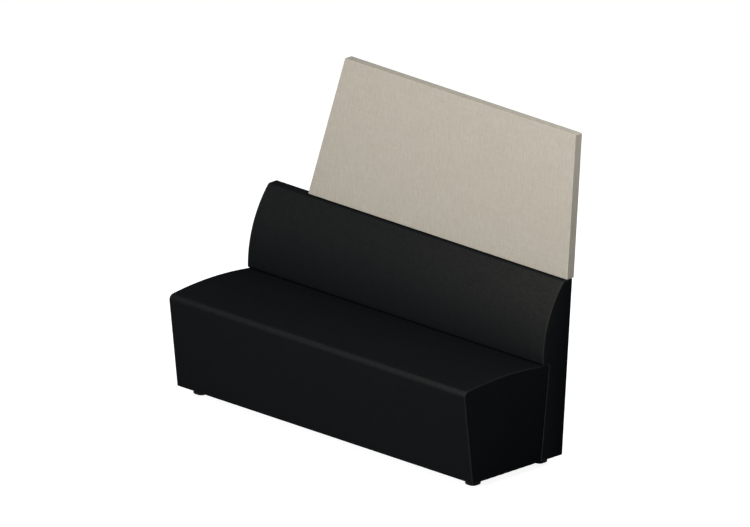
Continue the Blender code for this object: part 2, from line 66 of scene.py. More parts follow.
FEET = {
    f"{row}_{label}": (side * FOOT_X, y)
    for row, y in FOOT_ROWS.items()
    for label, side in SIDES.items()
}

# Sizes of the looks alone
EDGE = 0.002  # rounding where a cover's panels are sewn together
LIP = 0.0001  # half the width of a sewn seam
DIVE = 0.0012  # how far a sewn edge turns in
PUFF = 0.0005  # how far the foam pushes the fabric out between seams
CLOTH = 0.0012  # fabric thickness
TUCK = 0.3  # share of a seam's rounding that the back keeps where it sits on the seat
TUCK_REACH = 0.01  # how far either side of the bulge's front the seat takes to be tucked
SINK = 0.002  # how far the back's lower edge sinks towards the seat
FOLD = 0.003  # rounding where a cover turns under the frame
FLANGE = 0.018  # fabric stapled under the frame
END_SWELL = 0.0006  # how far an end panel stands out from its seam
SWELL_REACH = 0.02  # how far from a seam a panel takes to stand out
FACE_RINGS = (0.001, 0.003, 0.008)  # rows of points inside a panel's border, so that it shades evenly
LEAST_RADIUS = 0.0004  # of a corner that an inset has used up

# Stretches in each part of a section
FRONT_ROLL, CROWN, SMALL_ROLL, WALL = 12, 34, 8, 28
BULGE_FACE, TOP_ROLL, NEST, CORNER, SHELF, REAR_WALL = 28, 10, 7, 5, 3, 52
SEAM_STEPS, FOLD_STEPS, FLANGE_STEPS, UNDER_STEPS = 4, 5, 3, 10


# Lines of flat points


def smooth(value, low, high):
    t = np.clip((value - low) / (high - low), 0, 1)
    return t * t * (3 - 2 * t)


def arc(centre, radius, start, end, steps):
    """Points round a centre. The radius is a number, or an array with one for each point."""
    a = np.linspace(start, end, steps + 1)
    return np.stack([centre[0] + radius * np.cos(a), centre[1] + radius * np.sin(a)], 1)


def circle(centre, radius, steps):
    return arc(centre, radius, 0, 2 * pi, steps)[:-1]


def run(start, end, steps):
    t = np.linspace(0, 1, steps + 1)[:, None]
    return (1 - t) * np.array(start) + t * np.array(end)


def chain(*parts):
    """One line through stretches that each begin where the last one ended."""
    return np.concatenate([parts[0]] + [p[1:] for p in parts[1:]])


def distances(line):
    """How far along a line each of its points lies."""
    return np.concatenate([[0.0], np.cumsum(np.hypot(*np.diff(line, axis=0).T))])


def rounded(corners, radius, counts, steps=5):
    """A closed ring round corners, each rounded, with each side in so many stretches."""
    corners = np.array(corners)
    arcs = []
    for before, at, after in zip(np.roll(corners, 1, 0), corners, np.roll(corners, -1, 0)):
        a, b = ((to - at) / np.linalg.norm(to - at) for to in (before, after))
        half = np.arccos(np.clip(a @ b, -1, 1)) / 2
        centre = at + (a + b) / np.linalg.norm(a + b) * radius / sin(half)
        start, end = (at + d * radius / np.tan(half) - centre for d in (a, b))
        first, last = atan2(start[1], start[0]), atan2(end[1], end[0])
        last = first + (last - first + pi) % (2 * pi) - pi
        arcs.append(arc(centre, radius, first, last, steps))
    parts = []
    for i, count in enumerate(counts):
        parts += [arcs[i], run(arcs[i][-1], arcs[(i + 1) % len(arcs)][0], count)]
    return chain(*parts)[:-1]


def turned_edge(radius, degrees, steps):
    """A rounded edge as pairs: how far each point is back from the end and in from the side."""
    turn = np.radians(np.linspace(0, degrees, steps + 1))
    return [(radius * (1 - sin(t)), radius * (1 - cos(t))) for t in turn]


def sewn_edge(radius, steps):
    """Half of a rounded edge, as far as the seam in its middle, where it turns in."""
    edge = turned_edge(radius, 45, steps)
    back, inset = edge[-1][0] + LIP, edge[-1][1] - LIP
    return edge[:-1] + [(back, inset), (back + DIVE, inset + DIVE)]


def mirrored(right):
    """Pairs of X and inset along the whole sofa, from those of its right half, which begin at nought."""
    return [(-x, inset) for x, inset in right[:0:-1]] + right


# Sections, in the body frame, as points of Y and Z


def seat_front(z, inset=0.0):
    return inset / cos(SEAT_LEAN) - z * tan(SEAT_LEAN)


def seat_rear(z, inset=0.0):
    return SEAT_DEPTH - seat_front(z, inset)


def back_front(z, inset=0.0):
    return seat_rear(z) + SEAM_GAP + inset / cos(SEAT_LEAN)


def back_rear(z, inset=0.0):
    return SEAT_DEPTH + BACK_BASE + z * tan(BACK_LEAN) - inset / cos(BACK_LEAN)


def screen_front(z):
    return back_rear(z) + SCREEN_OVERHANG - SCREEN_THICKNESS


BULGE_BOTTOM = CROWN_Z + sqrt(CROWN_RADIUS**2 - CROWN_Y**2) + CREASE_GAP
BULGE_Z = BULGE_BOTTOM + BULGE_BELLY
BULGE_FRONT = back_front(BULGE_BOTTOM) - BULGE_OVERHANG


def seat_edge_centre(radius):
    start = seat_front(0, radius) - CROWN_Y
    slope = tan(SEAT_LEAN)
    square = 1 + slope**2
    half = slope * start + CROWN_Z
    rest = start**2 + CROWN_Z**2 - (CROWN_RADIUS - radius) ** 2
    z = (half + sqrt(half**2 - square * rest)) / square
    return seat_front(z, radius), z


def seat_section(inset=0.0, base=0.0, tuck=TUCK):
    """Seat from its lower front edge over the crown to its lower rear edge.

    tuck is the share of the inset that the crown takes under the bulge.
    """
    front = seat_edge_centre(SEAT_FRONT_RADIUS)
    rear = seat_edge_centre(SEAT_REAR_RADIUS)
    first = atan2(front[1] - CROWN_Z, front[0] - CROWN_Y)
    last = pi - atan2(rear[1] - CROWN_Z, rear[0] - CROWN_Y)
    rear = (SEAT_DEPTH - rear[0], rear[1])
    rise = arc(front, SEAT_FRONT_RADIUS - inset, pi + SEAT_LEAN, first, FRONT_ROLL)
    place = CROWN_Y + CROWN_RADIUS * np.cos(np.linspace(first, last, CROWN + 1))
    covered = smooth(place, BULGE_FRONT - TUCK_REACH, BULGE_FRONT + TUCK_REACH)
    shares = 1 - (1 - tuck) * covered
    crown = arc((CROWN_Y, CROWN_Z), CROWN_RADIUS - inset * shares, first, last, CROWN)
    shares = np.linspace(tuck, 1, SMALL_ROLL + 1)
    fall = arc(rear, SEAT_REAR_RADIUS - inset * shares, last, -SEAT_LEAN, SMALL_ROLL)
    up = run((seat_front(base, inset), base), rise[0], WALL)
    down = run(fall[-1], (seat_rear(base, inset), base), WALL)
    return chain(up, rise, crown, fall, down)


def bulge_section(inset=0.0, tuck=TUCK, sink=SINK):
    """The back's padded front, from the lower edge of the bulge up to the flat top.

    tuck is the share of the inset that its underside takes, and sink is how far that hangs lower.
    """
    top = (back_rear(BACK_HEIGHT) - TOP_DEPTH, BACK_HEIGHT - BACK_TOP_RADIUS)
    setback = top[0] - BULGE_FRONT
    rise = top[1] - BULGE_Z
    radius = (setback**2 + rise**2 - BACK_TOP_RADIUS**2) / (2 * (setback - BACK_TOP_RADIUS))
    belly = (BULGE_FRONT + radius, BULGE_Z)
    low_z = BULGE_BOTTOM - sink + BULGE_EDGE_RADIUS
    low_y = belly[0] - sqrt((radius - BULGE_EDGE_RADIUS) ** 2 - (low_z - BULGE_Z) ** 2)
    first = atan2(low_z - BULGE_Z, low_y - belly[0]) % (2 * pi)
    last = atan2(rise, top[0] - belly[0])
    shares = np.linspace(tuck, 1, SMALL_ROLL + 1)
    low = arc((low_y, low_z), BULGE_EDGE_RADIUS - inset * shares, 1.5 * pi, first, SMALL_ROLL)
    face = arc(belly, radius - inset, first, last, BULGE_FACE)
    return chain(low, face, arc(top, BACK_TOP_RADIUS - inset, last, pi / 2, TOP_ROLL))


def back_section(inset=0.0, base=0.0):
    """Back from its lower front edge, under and over the bulge, to its lower rear edge."""
    under = BULGE_BOTTOM - SINK + TUCK * inset
    nest = SEAT_REAR_RADIUS + SEAM_GAP + TUCK * inset
    nest_z = under - nest
    nest_y = back_front(nest_z, inset) - nest / cos(SEAT_LEAN)
    inner = arc((nest_y, nest_z), nest, -SEAT_LEAN, pi / 2, NEST)
    bulge = bulge_section(inset)
    round_off = max(BACK_CORNER_RADIUS - inset, LEAST_RADIUS)
    corner_z = BACK_HEIGHT - inset - round_off
    corner_y = back_rear(corner_z, inset + round_off)
    corner = arc((corner_y, corner_z), round_off, pi / 2, -BACK_LEAN, CORNER)
    up = run((back_front(base, inset), base), inner[0], WALL)
    shelf, top = run(inner[-1], bulge[0], SHELF), run(bulge[-1], corner[0], SHELF)
    down = run(corner[-1], (back_rear(base, inset), base), REAR_WALL)
    return chain(up, inner, shelf, bulge, top, corner, down)


# Mesh helpers

TINY = 1e-18  # keeps a division from failing
SAME_POINT = 1e-7  # points nearer than this are one
BORDER_ROOM, HOLE_ROOM = 0.45, 0.3  # shares of a step that filling points keep from a border or a hole
INSIDE_EDGES = 1  # Blender's number for the triangles that the edges enclose


def add_mesh(name, points, faces, finish, replaced=None, body="sofa", sharp=None):
    """A piece in the row frame from points in the body frame, with its faces outwards.

    It is smooth, apart from edges where faces meet at more than sharp, in degrees.
    """
    mesh = bpy.data.meshes.new(name)
    mesh.from_pydata((np.asarray(points) + BODY).tolist(), [], [list(map(int, f)) for f in faces])
    mesh.validate()
    shape = bmesh.new()
    shape.from_mesh(mesh)
    bmesh.ops.recalc_face_normals(shape, faces=shape.faces)
    shape.to_mesh(mesh)
    shape.free()
    mesh.shade_smooth()
    if sharp:
        mesh.set_sharp_from_angle(angle=radians(sharp))
    mesh.materials.append(finish.material)
    made = bpy.data.objects.new(name, mesh)
    bpy.context.scene.collection.objects.link(made)
    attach(made, body)
    if replaced:
        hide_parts(replaced)
    return made


def mark(obj, **layers):
    """Gives each vertex numbers or vectors, which materials read by name."""
    for name, values in layers.items():
        values = np.asarray(values, np.float32)
        kind, field = ("FLOAT", "value") if values.ndim == 1 else ("FLOAT_VECTOR", "vector")
        layer = obj.data.attributes.new(name, kind, "POINT")
        layer.data.foreach_set(field, values.ravel())


def near(distance, reach):
    """One at no distance, fading over the reach."""
    return np.exp(-((distance / reach) ** 2))


def thicken(obj, amount=CLOTH):
    """Gives a cloth its thickness, inwards."""
    shell = obj.modifiers.new("thickness", "SOLIDIFY")
    shell.thickness = amount
    shell.offset = -1
    shell.use_quality_normals = True


def strip_faces(rows, columns, closed=False, start=0, stride=None, flip=False):
    """Faces of a grid of rows and columns of points. stride is from one row to the next."""
    stride = stride or columns
    faces = []
    for r in range(rows - 1):
        for c in range(columns if closed else columns - 1):
            a, b = (start + r * stride + i for i in (c, (c + 1) % columns))
            face = (a, b, b + stride, a + stride)
            faces.append(face[::-1] if flip else face)
    return faces


def inside(points, ring):
    """Which points lie in a closed ring, and how far each is from it."""
    a, b = ring, np.roll(ring, -1, 0)
    p = points[:, None]
    crosses = (a[:, 1] > p[..., 1]) != (b[:, 1] > p[..., 1])
    rise = np.where(b[:, 1] == a[:, 1], TINY, b[:, 1] - a[:, 1])
    at = a[:, 0] + (p[..., 1] - a[:, 1]) * (b[:, 0] - a[:, 0]) / rise
    within = (crosses & (p[..., 0] < at)).sum(1) % 2 == 1
    along = b - a
    length = np.maximum((along**2).sum(1), TINY)
    t = np.clip(((p - a) * along).sum(2) / length, 0, 1)
    away = np.sqrt((((a + t[..., None] * along) - p) ** 2).sum(2)).min(1)
    return within, away


def filled(ring, step, holes=()):
    """Triangles that fill a flat ring around holes: points, faces and distance from the ring."""
    low, high = ring.min(0), ring.max(0)
    counts = np.maximum(np.ceil((high - low) / step).astype(int), 1)
    axes = [np.linspace(low[i], high[i], counts[i] + 1) for i in (0, 1)]
    grid = np.stack(np.meshgrid(*axes, indexing="ij"), -1).reshape(-1, 2)
    keep, away = inside(grid, ring)
    keep &= away > BORDER_ROOM * step
    for hole in holes:
        within, gap = inside(grid, hole)
        keep &= ~within & (gap > HOLE_ROOM * step)
    points, edges = [], []
    for loop in (ring, *holes):
        first = len(points)
        points += [*loop]
        edges += [(first + i, first + (i + 1) % len(loop)) for i in range(len(loop))]
    points += [*grid[keep]]
    found = delaunay_2d_cdt([Vector(p) for p in points], edges, [], INSIDE_EDGES, SAME_POINT)
    flat, faces = (np.array([tuple(row) for row in found[i]]) for i in (0, 2))
    for hole in holes:
        faces = faces[~inside(flat[faces].mean(1), hole)[0]]
    return flat, faces, inside(flat, ring)[1]


def level(axis, value):
    """Puts flat points at a value of the axis that they lack."""
    return lambda flat, away: np.insert(flat, axis, value, 1)


def capped(rings, ends, step, flat_axes, counts=None):
    """Points and faces of rings joined in turn and filled, and the filling's distances from a ring.

    ends are the rings to fill, all with the last one's outline. Each has a function that gives its
    filling from flat points and those distances. counts are the points in an outline and its holes.
    """
    size = len(rings[0])
    counts = counts or [size]
    starts = np.cumsum([0, *counts[:-1]])
    outline, *holes = np.split(rings[-1][:, flat_axes], starts[1:])
    flat, cap, away = filled(outline, step, holes)
    points, faces = np.concatenate(rings), []
    for start, count in zip(starts, counts):
        faces += strip_faces(len(rings), count, closed=True, start=start, stride=size)
    index = np.arange(len(flat))
    for ring, filling in ends:
        where = index + np.where(index < size, ring % len(rings) * size, len(points) - size)
        points = np.concatenate([points, filling(flat[size:], away[size:])])
        faces += [tuple(where[f]) for f in cap]
    return points, faces, away


def lathe(profile, segments, point=None):
    """Points and faces turned about Z from radii and heights, with flat ends, or the last to a point.

    A radius is a number, or an array with one for each point round.
    """
    around = circle((0, 0), 1, segments)
    rings = [np.insert(np.reshape(radius, (-1, 1)) * around, 2, z, 1) for radius, z in profile]
    points, faces = np.concatenate(rings), strip_faces(len(rings), segments, closed=True)
    last = np.arange(segments) + len(points) - segments
    faces.append(range(segments))
    if point is None:
        return points, faces + [last]
    faces += [(a, b, len(points)) for a, b in zip(last, np.roll(last, -1))]
    return np.append(points, [(0, 0, point)], 0), faces


# Materials


class Nodes:
    """Makes the nodes of one tree by short calls."""

    def __init__(self, tree):
        self.tree = tree

    def feed(self, socket, value):
        if isinstance(value, bpy.types.NodeSocket):
            self.tree.links.new(value, socket)
        else:
            socket.default_value = value

    def node(self, kind, *values, output=0, settings=None, **inputs):
        """Adds a node, feeds its inputs in order or by name, and gives one of its outputs."""
        made = self.tree.nodes.new("ShaderNode" + kind)
        for key, value in (settings or {}).items():
            setattr(made, key, value)
        for socket, value in zip(made.inputs, values):
            self.feed(socket, value)
        for key, value in inputs.items():
            self.feed(made.inputs[key], value)
        return made.outputs[output] if len(made.outputs) else None

    def math(self, operation, *values, kind="Math"):
        return self.node(kind, *values, settings={"operation": operation})

    def plus(self, total, *others):
        for value in others:
            total = self.math("ADD", total, value)
        return total

    def times(self, value, factor, more=0.0):
        """A value times a factor, plus more."""
        return self.math("MULTIPLY_ADD", value, factor, more)

    def swing(self, value, amount):
        """A value around a half, as a change of up to about amount either way."""
        return self.times(value, 2 * amount, -amount)


class Finish(Nodes):
    """A material. Its patterns follow the object's coordinates, or a vector that its vertices carry."""

    def __init__(self, name, colour, roughness, metallic=0.0, specular=0.5, follows=None):
        self.name = name
        self.material = bpy.data.materials.new(name)
        self.material.use_nodes = True
        super().__init__(self.material.node_tree)
        self.shader = self.tree.nodes["Principled BSDF"]
        self.colour = (*colour, 1.0)
        self.set("Base Color", self.colour)
        self.set("Roughness", roughness)
        self.set("Metallic", metallic)
        self.set("Specular IOR Level", specular)
        self.place = self.attribute(follows) if follows else self.node("TexCoord", output="Object")

    def set(self, name, value):
        self.feed(self.shader.inputs[name], value)

    def attribute(self, name, output="Vector"):
        return self.node("Attribute", settings={"attribute_name": name}, output=output)

    def scaled(self, scale, shift=(0, 0, 0)):
        return self.node("Mapping", Vector=self.place, Scale=scale, Location=shift)

    def noise(self, scale, detail=2.0, roughness=0.5, shift=(0, 0, 0)):
        """Noise with its own scale along each axis."""
        place = self.scaled(scale, shift)
        return self.node("TexNoise", Vector=place, Scale=1.0, Detail=detail, Roughness=roughness)

    def cells(self, scale):
        return self.node("TexVoronoi", Vector=self.place, Scale=scale, output="Distance")

    def shade(self, change, saturation=1.0, hue=0.5):
        """Drives the colour's brightness: one plus the change. A hue of a half keeps the colour."""
        lift = self.plus(change, 1.0)
        tone = self.node("HueSaturation", Color=self.colour, Value=lift, Saturation=saturation, Hue=hue)
        self.set("Base Color", tone)

    def rough(self, base, change):
        self.set("Roughness", self.plus(change, base))

    def bump(self, height, distance, strength):
        self.set("Normal", self.node("Bump", Height=height, Distance=distance, Strength=strength))


def woven(name, colour, painted_light, yarn, tall, wide, fleck, bleached):
    """Flat woven cloth, which follows the vertices' own cloth coordinates in metres.

    painted_light is its colour where the painted highlight that its vertices carry is one; where that
    mark is below nought it darkens the cloth as painted shade. tall, wide and fleck are how much the
    streaks of its warp, the streaks of its weft and its thick knots change its brightness. bleached is
    how much of their tint the bright threads lose.
    """
    made = Finish(name, colour, 0.9, specular=0.0, follows="cloth")
    threads = made.scaled((1 / yarn, 1 / yarn, 1))
    across = [made.node("SeparateXYZ", threads, output=i) for i in (0, 1)]
    waves = [made.math("SINE", made.times(a, pi)) for a in across]
    warp, weft = (made.math("ABSOLUTE", w) for w in waves)
    over = made.math("GREATER_THAN", made.times(*waves), 0.0)
    warp_top = made.times(warp, made.times(weft, 0.45, 0.55))
    weft_top = made.times(weft, made.times(warp, 0.45, 0.55))
    weave = made.times(made.math("SUBTRACT", warp_top, weft_top), over, weft_top)

    upright = made.noise((300, 28, 1), roughness=0.6, shift=(3.7, 1.3, 0))
    sideways = made.noise((14, 240, 1), roughness=0.6)
    knots = made.noise((250, 250, 1), roughness=0.7)
    cloud = made.noise((5, 5, 1))
    patches = made.noise((14, 14, 1), detail=3.0)
    # painted highlight and painted shade from the vertices, made patchy
    wear = made.times(made.attribute("wear", "Fac"), made.times(patches, 0.1, 0.95))
    change = made.plus(made.swing(upright, tall), made.swing(sideways, wide), made.swing(knots, fleck))
    change = made.times(made.plus(weave, -0.5), 0.25, change)
    change = made.times(change, made.times(wear, 0.5, 1.0), made.swing(cloud, 0.025))

    paler = tuple(w - c for w, c in zip(painted_light, colour))
    made.colour = made.math("MULTIPLY_ADD", wear, paler, colour, kind="VectorMath")
    made.shade(change, made.times(change, -bleached, 1.0), made.plus(made.swing(upright, 0.02), 0.5))
    made.rough(0.82, made.swing(knots, 0.06))
    made.bump(made.times(made.swing(upright, 0.5), 0.5, weave), 0.0003, 0.6)
    return made


def dust_cloth():
    """Thin felt of crossing fibres."""
    made = Finish("dust_cloth", (0.0091, 0.0091, 0.0097), 0.95, specular=0.1)
    fibres = made.noise((900, 160, 300), detail=3.0, roughness=0.7)
    felt = made.noise((60, 60, 60), detail=4.0)
    made.shade(made.plus(made.swing(fibres, 0.35), made.swing(felt, 0.2)))
    made.rough(0.9, made.swing(felt, 0.06))
    made.bump(fibres, 0.0002, 0.5)
    return made


def plywood(name, axis, grain):
    """Birch ply with glue lines across its thickness, which is along the axis."""
    made = Finish(name, (0.584, 0.402, 0.202), 0.6, specular=0.35)
    figure = made.noise(grain, detail=5.0, roughness=0.65)
    pores = made.noise([8 * g for g in grain])
    plies = {"wave_profile": "SAW", "bands_direction": axis}
    wave = made.node("TexWave", settings=plies, output="Fac", Vector=made.place, Scale=330.0)
    line = made.math("GREATER_THAN", wave, 0.86)
    change = made.plus(made.swing(figure, 0.22), made.swing(pores, 0.08))
    made.shade(made.times(line, -0.18, change), 1.05)
    made.rough(0.58, made.swing(figure, 0.12))
    made.bump(pores, 0.0003, 0.35)
    return made


def foam():
    """Open cells with a faint uneven tint."""
    made = Finish("foam", (0.760, 0.686, 0.445), 0.95, specular=0.1)
    cells = made.cells(700.0)
    tint = made.noise((9, 9, 9), detail=3.0)
    made.shade(made.times(cells, 0.25, made.swing(tint, 0.07)))
    made.rough(0.93, made.swing(tint, 0.04))
    made.bump(cells, 0.0004, 0.6)
    return made


def plastic(name, colour, roughness, scale):
    """Moulded plastic with a fine spark-eroded grain, scuffed paler where its vertices carry a scuff."""
    made = Finish(name, colour, roughness, specular=0.03)
    grain = made.noise((scale, scale, scale))
    flow = made.noise((25, 25, 90), detail=3.0)
    rub = made.times(made.attribute("wear", "Fac"), made.noise((240, 240, 240), detail=3.0))
    change = made.plus(made.swing(grain, 0.08), made.swing(flow, 0.10))
    made.shade(made.times(rub, 1.2, change))
    made.rough(roughness, made.times(rub, 0.2, made.swing(flow, 0.06)))
    made.bump(grain, 0.00008, 0.5)
    return made


def zinc():
    """Plated steel with a spangle and fine scuffs."""
    made = Finish("zinc_steel", (0.514, 0.527, 0.546), 0.35, metallic=1.0)
    spangle = made.cells(160.0)
    scuff = made.noise((140, 900, 300), detail=3.0)
    made.shade(made.plus(made.swing(spangle, 0.08), made.swing(scuff, 0.10)), 1.1)
    made.rough(0.34, made.plus(made.swing(scuff, 0.10), made.swing(spangle, 0.06)))
    made.bump(scuff, 0.00004, 0.4)
    return made


def powder_coat():
    """Black steel with an orange-peel skin and scuffs."""
    made = Finish("black_steel", (0.0144, 0.0144, 0.0152), 0.5, specular=0.2)
    peel = made.noise((1100, 1100, 1100))
    scuff = made.noise((60, 400, 60), detail=4.0, roughness=0.65)
    made.shade(made.plus(made.swing(scuff, 0.25), made.swing(peel, 0.1)))
    made.rough(0.46, made.swing(scuff, 0.14))
    made.bump(peel, 0.00006, 0.5)
    return made


# Each fabric's own colour, then the paler colour of its painted highlight
BLACK, BLACK_PAINTED_HIGHLIGHT = (0.0094, 0.0106, 0.0114), (0.0176, 0.0181, 0.0179)
BEIGE, BEIGE_PAINTED_HIGHLIGHT = (0.524, 0.477, 0.399), (0.570, 0.519, 0.434)
BLACK_FABRIC = woven(
    "black_fabric", BLACK, BLACK_PAINTED_HIGHLIGHT, yarn=0.0013, tall=0.20, wide=0.10, fleck=0.30, bleached=0.0
)
BEIGE_FABRIC = woven(
    "beige_fabric", BEIGE, BEIGE_PAINTED_HIGHLIGHT, yarn=0.0014, tall=0.165, wide=0.08, fleck=0.085, bleached=1.5
)
DUST_FABRIC = dust_cloth()
FOAM = foam()
PLY = {
    "X": plywood("plywood_end", "X", grain=(40, 9, 2.2)),
    "Y": plywood("plywood_face", "Y", grain=(2.2, 40, 14)),
    "Z": plywood("plywood_flat", "Z", grain=(2.2, 14, 40)),
}
BLACK_PLASTIC = plastic("black_plastic", (0.0130, 0.0116, 0.0116), roughness=0.48, scale=1500)
NYLON = plastic("nylon", (0.045, 0.042, 0.040), roughness=0.55, scale=900)
ZINC = zinc()
BLACK_STEEL = powder_coat()

# Painted light on the covers: a painted highlight makes the fabric paler, and painted shade, where the
# mark is below nought, darker

WRAP_SEAM = 2.0  # painted highlight along a wrap's sewn edges
WRAP_SEAM_REACH, END_SEAM_REACH = 0.005, 0.003  # how far from a seam the painted highlight reaches on a wrap and on a panel
ON_SEAM = 0.008  # a point nearer to the other unit than this is on the seam that meets it


def rolled(line, full, fading, gone, starts=-8):
    """Painted highlight on each point of a section where it turns from facing forward to facing up,
    which stands in for the light that such a roll catches.

    The tilts, in degrees, are where the painted highlight is full, starts to fade, is gone
    and starts to rise.
    """
    along = np.gradient(line, axis=0)
    tilt = np.degrees(np.arctan2(along[:, 0], along[:, 1]))
    return smooth(tilt, starts, full) * (1 - smooth(tilt, fading, gone))


def toward_right(x, start=-0.5, length=1.4):
    """Nought over the left of the sofa, rising to one at its right end, where a painted highlight stands
    in for the light there being stronger.
    """
    return np.clip((x[:, None] - start) / length, 0, 1) ** 2


# painted highlight on the seat's front roll, stronger towards the right end
def seat_wear(line, x, roll=0.8, right_roll=0.65):
    return rolled(line, full=32, fading=56, gone=85) * (roll + right_roll * toward_right(x))


# painted highlight on the back's upper bulge and top roll, and an even painted lightening over its right
# end
def back_wear(line, x, roll=0.83, right_roll=1.05, right=0.25):
    far = toward_right(x)
    return rolled(line, full=38, fading=46, gone=80) * (roll + right_roll * far) + right * far


def seat_end_wear(
    y, z, front=0.1, rear=-0.2, low=-0.21, low_rear=-0.18, height=0.38, seam=1.6, crease_shade=-1.1
):
    """Painted light on a seat's end panel: paler towards its front and darker towards its rear and
    bottom, as painted shade. Its seam takes a painted highlight, and painted shade in the crease where it
    meets the back.
    """
    behind = (y - seat_front(z)) / (seat_rear(z) - seat_front(z))
    below = 1 - np.clip(z / height, 0, 1)
    panel = front + rear * behind + (low + low_rear * behind) * below
    return panel, np.where(y > seat_rear(z) - ON_SEAM, crease_shade, seam)


def back_end_wear(y, z, front=0.2, high=0.3, rear=-0.7, rise=(0.35, 0.8), seam=3.0, pale=6.5):
    """The same for a back's end panel: paler towards its front and top and darker towards its rear, as
    painted light and shade. Its seam takes a painted highlight, palest where it meets the seat.
    """
    behind = (y - back_front(z)) / (back_rear(z) - back_front(z))
    panel = front + high * smooth(z, *rise) + rear * behind
    meets_seat = (z < BULGE_BOTTOM) & (y < back_front(z) + ON_SEAM)
    return panel, np.where(meets_seat, pale, seam)


# Upholstery

OPEN_ROWS, OPEN_TO = 60, 0.035  # even rows of points in half a wrap, and how far from its seam they stop
NEAR_SEAM = (0.022, 0.014, 0.008, 0.004, 0.0015)  # its rows of points nearer the seam
HELD_COLUMNS = FLANGE_STEPS + FOLD_STEPS + 2  # columns of points that the frame holds
PANEL_STEP = 0.015
WRAP_LAYER, END_LAYER = 0.37, 2.1  # third cloth coordinates, so that no two kinds of piece weave alike
LAST_FRAME = 20
TIGHT_CLOTH = {
    "quality": 4,
    "mass": 0.3,
    "tension_stiffness": 25,
    "compression_stiffness": 25,
    "shear_stiffness": 10,
    "bending_stiffness": 0.5,
    "use_pressure": True,
    "uniform_pressure_force": 4,
}


def folded(section, inset, base, front, rear):
    """A cover's section with its lower edges turned under the frame."""
    low = base + FOLD
    line = section(inset, low)
    first = (front(low, inset) + FOLD, low)
    last = (rear(low, inset) - FOLD, low)
    start = arc(first, FOLD, 1.5 * pi, pi, FOLD_STEPS)
    end = arc(last, FOLD, 0, -pi / 2, FOLD_STEPS)
    start = chain(run((first[0] + FLANGE, base), start[0], FLANGE_STEPS), start)
    end = chain(end, run(end[-1], (last[0] - FLANGE, base), FLANGE_STEPS))
    return np.concatenate([start[:-1], line, end[1:]])


def stretch(obj, held, reach):
    """Lets the foam's pressure swell a cover between the points that hold it, by at most reach.

    The foam underneath keeps the cloth from drawing in.
    """
    group = obj.vertex_groups.new(name="held")
    group.add([int(i) for i in held], 1.0, "REPLACE")
    cloth = obj.modifiers.new("stretch", "CLOTH")
    for key, value in TIGHT_CLOTH.items():
        setattr(cloth.settings, key, value)
    cloth.settings.vertex_group_mass = group.name
    cloth.settings.effector_weights.gravity = 0
    cloth.collision_settings.use_collision = False
    cloth.point_cache.frame_start, cloth.point_cache.frame_end = 1, LAST_FRAME
    rest = np.empty((len(obj.data.vertices), 3), np.float32)
    outward, moved = np.empty_like(rest), np.empty_like(rest)
    obj.data.vertices.foreach_get("co", rest.ravel())
    obj.data.vertices.foreach_get("normal", outward.ravel())
    for step in range(1, LAST_FRAME + 1):
        bpy.context.scene.frame_set(step)
    shown = obj.evaluated_get(bpy.context.evaluated_depsgraph_get()).data
    shown.vertices.foreach_get("co", moved.ravel())
    obj.modifiers.remove(cloth)
    obj.vertex_groups.remove(group)
    bpy.context.scene.frame_set(1)
    swell = ((moved - rest) * outward).sum(1, keepdims=True)
    swell = reach * np.tanh(np.maximum(swell, 0.0) / reach)
    obj.data.vertices.foreach_set("co", (rest + swell * outward).ravel())
    obj.data.update()


def wrap_cover(unit, section, front, rear, painted_light):
    """The cloth round a unit's front, top and rear, sewn to the end panels."""
    sewn = [(END_X - back, inset) for back, inset in sewn_edge(EDGE, SEAM_STEPS)]
    side = END_X - EDGE
    right = [(x, 0.0) for x in np.linspace(0.0, side - OPEN_TO, OPEN_ROWS)]
    stations = mirrored(right + [(side - gap, 0.0) for gap in NEAR_SEAM] + sewn)
    rings = [folded(section, inset + PUFF, inset, front, rear) for _, inset in stations]
    rows, columns = len(rings), len(rings[0])
    points = np.concatenate([np.insert(r, 0, x, 1) for (x, _), r in zip(stations, rings)])
    faces = strip_faces(rows, columns, flip=True)
    made = add_mesh(f"{unit}_wrap", points, faces, BLACK_FABRIC, f"{unit}_cover_wrap")
    plain = rings[rows // 2]
    length = distances(plain)
    across = np.array([x for x, _ in stations])
    # painted highlight along the sewn ends, added to the painted highlight on the rolls
    edges = WRAP_SEAM * near(END_X - np.abs(across), WRAP_SEAM_REACH)
    wear = painted_light(plain, across) + edges[:, None]
    mark(made, cloth=[(x, along, WRAP_LAYER) for x in across for along in length], wear=wear.ravel())
    held = np.ones((rows, columns), bool)
    held_rows = len(sewn) + 1
    held[held_rows:-held_rows, HELD_COLUMNS:-HELD_COLUMNS] = False
    stretch(made, np.flatnonzero(held), PUFF)
    thicken(made)


